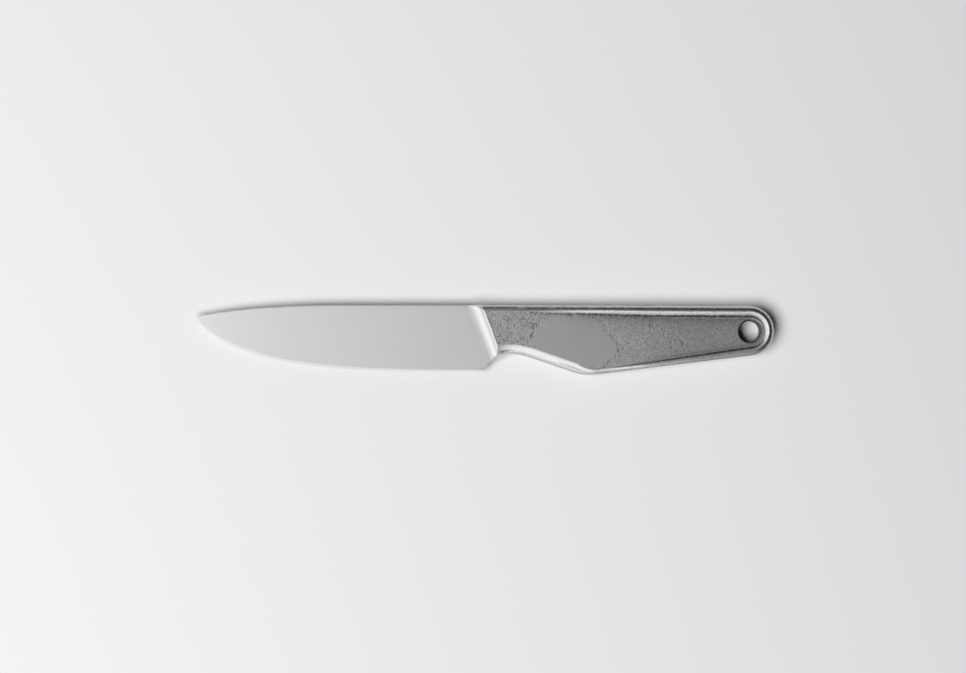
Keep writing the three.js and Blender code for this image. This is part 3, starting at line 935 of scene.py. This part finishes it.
# the as-forged skin pressed into the panel with its dark pits and grain, and painted shade on rim, panel
# and hole
def roughen(piece, seed):
    points = vertexArray(piece)
    x = (points[:, 0] - datum[0]) / mm
    y = (points[:, 1] - datum[1]) / mm
    z = points[:, 2] / mm
    onTop = z > crest - rim["round"] - wear["wallSlack"]
    onTop &= z > handle["tang"] / 2 + wear["wallLeast"]
    fromHole = np.hypot(x - holeCentre[0], y - holeCentre[1])
    nearHole = handle["holeRadius"] + wear["holePanel"]
    share = np.where((fromHole < nearHole) & onTop, 1, getAttribute(piece, "panel"))
    panel = smooth(share, *wear["panelStarts"]) * onTop
    depth, hollow, rough = forgedDepth(x, y, seed)
    keep = smooth(fromHole, *(handle["holeRadius"] + edge for edge in wear["holeClear"]))
    points[:, 2] -= depth * panel * keep * mm
    placeVertices(piece, points)

    # the rim's painted shade, broken up a little
    broken = speckle(x, y, wear["toeSize"], wear["toeSpan"], seed + 33)
    toe = np.where(fromHole > nearHole, getAttribute(piece, "hollow"), 0)
    toe = toe * mix(wear["toeLeast"], 1, broken)
    fleck = wear["fleckDark"] * speckle(x, y, wear["fleckSize"], wear["fleckSpan"], seed + 35)
    fleck = fleck * smooth(x, *wear["fleckStarts"]) * (1 - panel) * onTop
    # a painted dark reflection along the top edge near the bolster
    broken = speckle(x, y, wear["topEdgeShadeSize"], wear["topEdgeShadeSpan"], seed + 39)
    topEdgeShade = ridge(x * topFall - y, wear["topEdgeShadeIn"], wear["topEdgeShadeWide"]) * onTop
    topEdgeShade = topEdgeShade * (1 - smooth(x, *wear["topEdgeShadeEnds"])) * mix(wear["topEdgeShadeLeast"], 1, broken)
    # painted shade on the wall and edge of the hanging hole
    boreShade = traced(fromHole - handle["holeRadius"], wear["boreShade"])
    hollow = np.maximum.reduce([hollow * panel * keep, toe, fleck, topEdgeShade, boreShade])
    setAttribute(piece, "panel", panel)
    setAttribute(piece, "polish", getAttribute(piece, "polish") * (1 - panel))
    setAttribute(piece, "hollow", hollow)
    setAttribute(piece, "grit", np.maximum(rough, wear["gritLeast"]) * panel)


# the back scale is turned over, and both are brought to their height
def finishScale(piece, side):
    editAll(piece)
    if side < 0:
        bpy.ops.transform.resize(value=(1, 1, -1), center_override=(0, 0, 0))
        bpy.ops.mesh.flip_normals()
    bpy.ops.transform.translate(value=(0, 0, datum[2]))
    leaveEdit()
    bpy.ops.object.shade_smooth_by_angle(angle=rim["smoothAngle"])


tang = {
    "ahead": -2.0,  # how far it runs in under the bolster
    "inset": 0.04,
    "columns": 80,
    "sleeveColumns": 16,
    "sleeveInset": 0.02,
    "sleeveEnd": -0.02,
    "sleeveUnder": 0.25,  # kept this far below the ramp
}


def drawnIn(side, distance):
    return {**side, "line": side["line"] + side["inward"] * distance}


# the tang plate, and the handle's rolled edges running on under the bolster's rounded rear corners
def addTang(piece):
    share = np.linspace(0, 1, tang["columns"] + 1)
    top = topSide(mix(leanX(0, tang["ahead"]), buttTop[0], share))
    low = lowSide(mix(undersideX(tang["ahead"]), buttLow[0], share))
    plateSides = chained(low, buttSide(buttLowAngle)), chained(top, buttSide(buttTopAngle))
    lines = [drawnIn(side, tang["inset"])["line"] for side in plateSides]
    level = np.full((len(lines[0]), 1), handle["tang"] / 2)
    plate = gridPiece("tang_plate", np.stack([np.hstack([line, level]) for line in lines], 1))[0]
    closeBoth(plate)
    cutHole(plate, datum[2])
    share = np.linspace(0, 1, tang["sleeveColumns"] + 1)
    topX = mix(leanX(0, tang["ahead"]), leanX(0, tang["sleeveEnd"]), share)
    lowX = mix(undersideX(tang["ahead"]), undersideX(tang["sleeveEnd"]), share)
    sleeveSides = [drawnIn(side, tang["sleeveInset"]) for side in (topSide(topX), lowSide(lowX))]
    points = skinPoints(*sleeveSides)[0]
    listed = points.reshape(-1, 3)
    rise = bolsterRise(behindRear(listed))
    ramp = mix(bladeHeight(listed[:, 0], listed[:, 1]), crest - bolster["lip"], rise)
    points[..., 2] = np.minimum(points[..., 2], ramp.reshape(points.shape[:2]) - tang["sleeveUnder"])
    sleeve = gridPiece("handle_front", points)[0]
    closeBoth(sleeve)
    for part in (plate, sleeve):
        applyModifier(piece, "BOOLEAN", operation="UNION", object=part, solver="EXACT")
        bpy.data.objects.remove(part)


# painted shade: the wall of the hanging hole in the tang is painted dark, as in the scales
def shadeBore(piece):
    fromHole = np.hypot(*((vertexArray(piece)[:, :2] - datum[:2]) / mm - holeCentre).T)
    onWall = fromHole < handle["holeRadius"] + handle["boreReach"]
    setAttribute(piece, "hollow", onWall * handle["boreShadeStrength"])


def addNode(tree, kind, **values):
    node = tree.nodes.new(kind)
    for name, value in values.items():
        setattr(node, name, value)
    return node


# a socket takes either a link or a fixed value
def feed(tree, socket, source):
    if isinstance(source, bpy.types.NodeSocket):
        tree.links.new(source, socket)
    else:
        socket.default_value = source


def mapRange(tree, source, fromLow, fromHigh, toLow, toHigh, kind="SMOOTHSTEP"):
    node = addNode(tree, "ShaderNodeMapRange", interpolation_type=kind)
    ends = {"From Min": fromLow, "From Max": fromHigh, "To Min": toLow, "To Max": toHigh}
    for name, value in ends.items():
        node.inputs[name].default_value = value
    tree.links.new(source, node.inputs["Value"])
    return node.outputs["Result"]


def reckon(tree, operation, first, second):
    node = addNode(tree, "ShaderNodeMath", operation=operation)
    feed(tree, node.inputs[0], first)
    feed(tree, node.inputs[1], second)
    return node.outputs["Value"]


def colourMix(tree, factor, first, second, blend="MIX"):
    node = addNode(tree, "ShaderNodeMix", data_type="RGBA", blend_type=blend)
    for name, source in (("Factor", factor), ("A", first), ("B", second)):
        feed(tree, node.inputs[name], source)
    return node.outputs["Result"]


def objectPlace(tree):
    return addNode(tree, "ShaderNodeTexCoord").outputs["Object"]


def axesOf(tree, place):
    node = addNode(tree, "ShaderNodeSeparateXYZ")
    tree.links.new(place, node.inputs["Vector"])
    return node.outputs


def vectorSum(tree, operation, *sources):
    node = addNode(tree, "ShaderNodeVectorMath", operation=operation)
    for socket, source in zip(node.inputs, sources):
        feed(tree, socket, source)
    return node.outputs


def stretched(tree, place, scale):
    node = addNode(tree, "ShaderNodeMapping")
    node.inputs["Scale"].default_value = scale
    tree.links.new(place, node.inputs["Vector"])
    return node.outputs["Vector"]


def objectNoise(tree, scale, detail=2.0):
    noise = addNode(tree, "ShaderNodeTexNoise")
    noise.inputs["Scale"].default_value = 1.0
    noise.inputs["Detail"].default_value = detail
    tree.links.new(stretched(tree, objectPlace(tree), scale), noise.inputs["Vector"])
    return noise.outputs


def attribute(tree, name):
    return addNode(tree, "ShaderNodeAttribute", attribute_name=name).outputs["Fac"]


def metres(lengths, start=0.0):
    return [start + length * mm for length in lengths]


def steelTree(name):
    material = bpy.data.materials.new(name)
    material.use_nodes = True
    tree = material.node_tree
    shader = tree.nodes["Principled BSDF"]
    shader.inputs["Metallic"].default_value = 1.0
    return material, tree, shader


def addBump(tree, shader, height, strength, depth):
    bump = addNode(tree, "ShaderNodeBump")
    bump.inputs["Strength"].default_value = strength
    bump.inputs["Distance"].default_value = depth * mm
    tree.links.new(height, bump.inputs["Height"])
    tree.links.new(bump.outputs["Normal"], shader.inputs["Normal"])


noiseSpan = (0.3, 0.7)  # where most of a noise lies
# dark forge scale, also used as the colour of painted shade
scaleAndShadeDark = (0.06, 0.06, 0.062, 1)
satinFinish = {
    "streaks": (7000, 40, 40),
    "tones": (60, 60, 60),
    "colours": ((0.645, 0.655, 0.665, 1), (0.67, 0.68, 0.69, 1)),
    "roughness": (0.30, 0.36),
    "bump": 0.04,
    "bumpDepth": 0.02,
    # the ramp's foot is painted darker as shade between these places
    "footShadeStarts": (-6.1, -5.5),  # from the bolster's rear plane
    "footShadeEnds": (-5.3, -3.7),
    "footShadeColour": (0.4, 0.405, 0.41, 1),
}


def satinSteel():
    material, tree, shader = steelTree("satin_steel")
    streak = objectNoise(tree, satinFinish["streaks"])["Fac"]
    tone = objectNoise(tree, satinFinish["tones"])["Fac"]
    steel = colourMix(tree, tone, *satinFinish["colours"])

    # painted shade: the hollow foot of the bolster's ramp is painted darker than the faces beside it
    sinLean = math.sin(bolster["lean"])
    rear = (datum[0] + bolster["rear"] * mm) * cosLean + datum[1] * sinLean
    behind = vectorSum(tree, "DOT_PRODUCT", objectPlace(tree), (cosLean, sinLean, 0))["Value"]
    starts = mapRange(tree, behind, *metres(satinFinish["footShadeStarts"], rear), 0, 1)
    ends = mapRange(tree, behind, *metres(satinFinish["footShadeEnds"], rear), 1, 0)
    footShade = reckon(tree, "MULTIPLY", starts, ends)
    footShaded = colourMix(tree, footShade, steel, satinFinish["footShadeColour"])
    # painted shade on the wall of the hanging hole
    boreShaded = colourMix(tree, attribute(tree, "hollow"), footShaded, scaleAndShadeDark)
    tree.links.new(boreShaded, shader.inputs["Base Color"])
    rough = mapRange(tree, streak, *noiseSpan, *satinFinish["roughness"], "LINEAR")
    tree.links.new(rough, shader.inputs["Roughness"])
    addBump(tree, shader, streak, satinFinish["bump"], satinFinish["bumpDepth"])
    return material


cracks = {
    "wander": (650, 650, 650),
    "wanderDetail": 2.5,
    "wanderReach": 2.0,
    "cells": (360, 300, 330),
    "width": (0.01, 0.045),
    "patches": (380, 380, 380),
    "patchSpan": (0.36, 0.52),
    "strength": 0.6,
    "end": (18, 25),
}
forgedFinish = {
    # painted shade: the skin darkens from front to rear, as the light falls off to the right
    "front": (0.475, 0.48, 0.485, 1),
    "rear": (0.395, 0.4, 0.405, 1),
    "rearStarts": (44, 80),
    "grain": (3000, 3000, 3000),
    "grainDetail": 3.0,
    "grainTones": (0.55, 1.42),
    "rubbed": (0.64, 0.65, 0.66, 1),
    "roughness": (0.4, 0.22),  # skin and rubbed rim
    "bump": 0.2,
    "bumpDepth": 0.04,
}


# thin wandering cracks between uneven cells
def crackLines(tree):
    wander = objectNoise(tree, cracks["wander"], cracks["wanderDetail"])["Color"]
    wander = vectorSum(tree, "SUBTRACT", wander, (0.5, 0.5, 0.5))["Vector"]
    wander = vectorSum(tree, "MULTIPLY", wander, [cracks["wanderReach"] * mm] * 3)["Vector"]
    place = vectorSum(tree, "ADD", objectPlace(tree), wander)["Vector"]
    cells = addNode(tree, "ShaderNodeTexVoronoi", feature="DISTANCE_TO_EDGE")
    cells.inputs["Scale"].default_value = 1.0
    tree.links.new(stretched(tree, place, cracks["cells"]), cells.inputs["Vector"])
    return mapRange(tree, cells.outputs["Distance"], *cracks["width"], 1, 0)


def forgedSteel():
    material, tree, shader = steelTree("forged_steel")
    polish = attribute(tree, "polish")
    grit = attribute(tree, "grit")
    x = axesOf(tree, objectPlace(tree))["X"]
    rear = mapRange(tree, x, *metres(forgedFinish["rearStarts"], datum[0]), 0, 1)
    front = mapRange(tree, x, *metres(cracks["end"], datum[0]), 1, 0)

    grain = objectNoise(tree, forgedFinish["grain"], forgedFinish["grainDetail"])["Fac"]
    tones = mapRange(tree, grain, *noiseSpan, *forgedFinish["grainTones"], "LINEAR")
    # painted shade: darker towards the rear
    skin = colourMix(tree, rear, forgedFinish["front"], forgedFinish["rear"])
    grained = colourMix(tree, grit, skin, tones, "MULTIPLY")
    rubbed = colourMix(tree, polish, grained, forgedFinish["rubbed"])

    patches = objectNoise(tree, cracks["patches"])["Fac"]
    crack = mapRange(tree, patches, *cracks["patchSpan"], 0, cracks["strength"])
    for share in (crackLines(tree), front, grit):
        crack = reckon(tree, "MULTIPLY", crack, share)
    # forge scale in cracks, pits and grain, and painted shade, darken the skin
    deepest = reckon(tree, "MAXIMUM", crack, attribute(tree, "hollow"))
    tree.links.new(colourMix(tree, deepest, rubbed, scaleAndShadeDark), shader.inputs["Base Color"])
    rough = mapRange(tree, polish, 0, 1, *forgedFinish["roughness"], "LINEAR")
    tree.links.new(rough, shader.inputs["Roughness"])
    level = reckon(tree, "SUBTRACT", grain, crack)
    addBump(tree, shader, level, forgedFinish["bump"], forgedFinish["bumpDepth"])
    return material


def dress(piece, material):
    piece.data.materials.clear()
    piece.data.materials.append(material)


knife = makeBlade()
addTang(knife)
shadeBore(knife)
pick(knife)
bpy.ops.object.shade_smooth_by_angle(angle=blade["smoothAngle"])
print("blade", len(knife.data.vertices))
frontScale = makeScale("scale_front", 1, forgedSkin["frontSeed"])
print("front scale", len(frontScale.data.vertices))
backScale = makeScale("scale_back", -1, forgedSkin["backSeed"])
print("back scale", len(backScale.data.vertices))

satin = satinSteel()
forged = forgedSteel()
dress(knife, satin)
dress(frontScale, forged)
dress(backScale, forged)
standIns = (
    (knife, "forged_blade"),
    (frontScale, "handle_scale_front"),
    (backScale, "handle_scale_back"),
)
for piece, node in standIns:
    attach(piece, "root")
    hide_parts(node)
for name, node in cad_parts.items():
    if name.startswith("dowel"):
        node.data.materials.clear()
        node.data.materials.append(satin)
print("materials", satin.name, forged.name)

# floor, light and camera
studio = {
    "floorSize": 12000,
    # painted shade: the floor's colour darkens from left to right, as the light falls off
    "floorLeft": (0.77, 0.775, 0.78, 1),  # as the camera and the steel see it
    "floorRight": (0.735, 0.745, 0.755, 1),
    "floorBounce": (0.7, 0.7, 0.71, 1),
    "floorFade": (-170, 190),  # from left to right
    "floorFar": (240, 700),
    "softSide": 197,  # compass side of the big soft light, degrees from +X
    "softEdge": (-0.22, 0.24),  # where it fades out, just past overhead
    "softLight": 1.35,
    "lowLight": 0.6,  # its share left near the horizon
    "lowEdge": (0.1, 0.7),
    "darkSide": 0.08,
    "leftLight": 0.3,  # more from the left, low down
    "leftEdge": (0.5, 0.95),
    "wallLight": 0.62,  # pale walls, all round
    "wallTop": (0.42, 0.74),
    "lampSide": 208,  # the lamp that lights the floor, from the same side
    "lampOff": 30,  # degrees from overhead
    "lampReach": 2000,
    "lampSize": (1220, 1700),
    "lampPower": 55.5,
}
view = {
    "width": 350.2,
    "distance": 800,
    "overX": 0.09,
    "overY": 1.25,
    "sensor": 36,
    "clipStart": 10,
}


def makeFloor():
    deselect()
    bpy.ops.mesh.primitive_plane_add(size=studio["floorSize"] * mm)
    floor = bpy.context.object
    floor.name = "floor"
    paper = bpy.data.materials.new("pale_paper")
    paper.use_nodes = True
    tree = paper.node_tree
    tree.nodes.clear()
    place = objectPlace(tree)
    # painted shade: darker from left to right
    fade = mapRange(tree, axesOf(tree, place)["X"], *metres(studio["floorFade"]), 0, 1, "LINEAR")
    shown = colourMix(tree, fade, studio["floorLeft"], studio["floorRight"])
    path = addNode(tree, "ShaderNodeLightPath").outputs
    seen = reckon(tree, "MAXIMUM", path["Is Camera Ray"], path["Is Glossy Ray"])
    seen = reckon(tree, "MAXIMUM", seen, path["Is Transmission Ray"])
    matt = addNode(tree, "ShaderNodeBsdfDiffuse")
    tree.links.new(colourMix(tree, seen, studio["floorBounce"], shown), matt.inputs["Color"])

    # far off, where the lamp fades, it keeps its own colour
    reach = vectorSum(tree, "LENGTH", place)["Value"]
    far = mapRange(tree, reach, *metres(studio["floorFar"]), 0, 1)
    glow = addNode(tree, "ShaderNodeEmission")
    tree.links.new(shown, glow.inputs["Color"])
    both = addNode(tree, "ShaderNodeMixShader")
    tree.links.new(reckon(tree, "MULTIPLY", far, seen), both.inputs["Fac"])
    tree.links.new(matt.outputs["BSDF"], both.inputs[1])
    tree.links.new(glow.outputs["Emission"], both.inputs[2])
    end = addNode(tree, "ShaderNodeOutputMaterial")
    tree.links.new(both.outputs["Shader"], end.inputs["Surface"])
    floor.data.materials.append(paper)


def makeLight():
    world = bpy.data.worlds.new("studio")
    bpy.context.scene.world = world
    world.use_nodes = True
    tree = world.node_tree
    place = addNode(tree, "ShaderNodeTexCoord").outputs["Generated"]
    axes = axesOf(tree, place)
    angle = math.radians(studio["softSide"])
    direction = (math.cos(angle), math.sin(angle), 0)
    side = vectorSum(tree, "DOT_PRODUCT", place, direction)["Value"]
    soft = mapRange(tree, side, *studio["softEdge"], studio["darkSide"], studio["softLight"])
    low = mapRange(tree, axes["Z"], *studio["lowEdge"], studio["lowLight"], 1)
    wall = mapRange(tree, axes["Z"], *studio["wallTop"], studio["wallLight"], 0)
    leftward = reckon(tree, "MULTIPLY", axes["X"], -1.0)
    left = mapRange(tree, leftward, *studio["leftEdge"], 0, studio["leftLight"])
    light = reckon(tree, "ADD", reckon(tree, "MULTIPLY", soft, low), left)
    light = reckon(tree, "MAXIMUM", light, wall)
    tree.links.new(light, tree.nodes["Background"].inputs["Strength"])
    tree.nodes["Background"].inputs["Color"].default_value = (1, 1, 1, 1)
    world.cycles_visibility.diffuse = False


def makeLamp():
    lamp = bpy.data.lights.new("lamp", "AREA")
    lamp.shape = "RECTANGLE"
    lamp.size, lamp.size_y = metres(studio["lampSize"])
    lamp.energy = studio["lampPower"]
    piece = bpy.data.objects.new("lamp", lamp)
    bpy.context.scene.collection.objects.link(piece)
    side, off = math.radians(studio["lampSide"]), math.radians(studio["lampOff"])
    toLamp = np.array([math.sin(off) * math.cos(side), math.sin(off) * math.sin(side), math.cos(off)])
    piece.location = toLamp * studio["lampReach"] * mm
    piece.rotation_euler = (0, off, side)
    piece.visible_glossy = False


def makeCamera():
    lens = bpy.data.cameras.new("camera")
    camera = bpy.data.objects.new("camera", lens)
    bpy.context.scene.collection.objects.link(camera)
    lens.sensor_width = view["sensor"]
    lens.lens = lens.sensor_width * view["distance"] / view["width"]
    lens.clip_start = view["clipStart"] * mm
    camera.location = (view["overX"] * mm, view["overY"] * mm, datum[2] + view["distance"] * mm)
    bpy.context.scene.camera = camera


makeFloor()
makeLight()
makeLamp()
makeCamera()
bpy.context.scene.view_settings.view_transform = "Standard"
print("floor, light and camera")
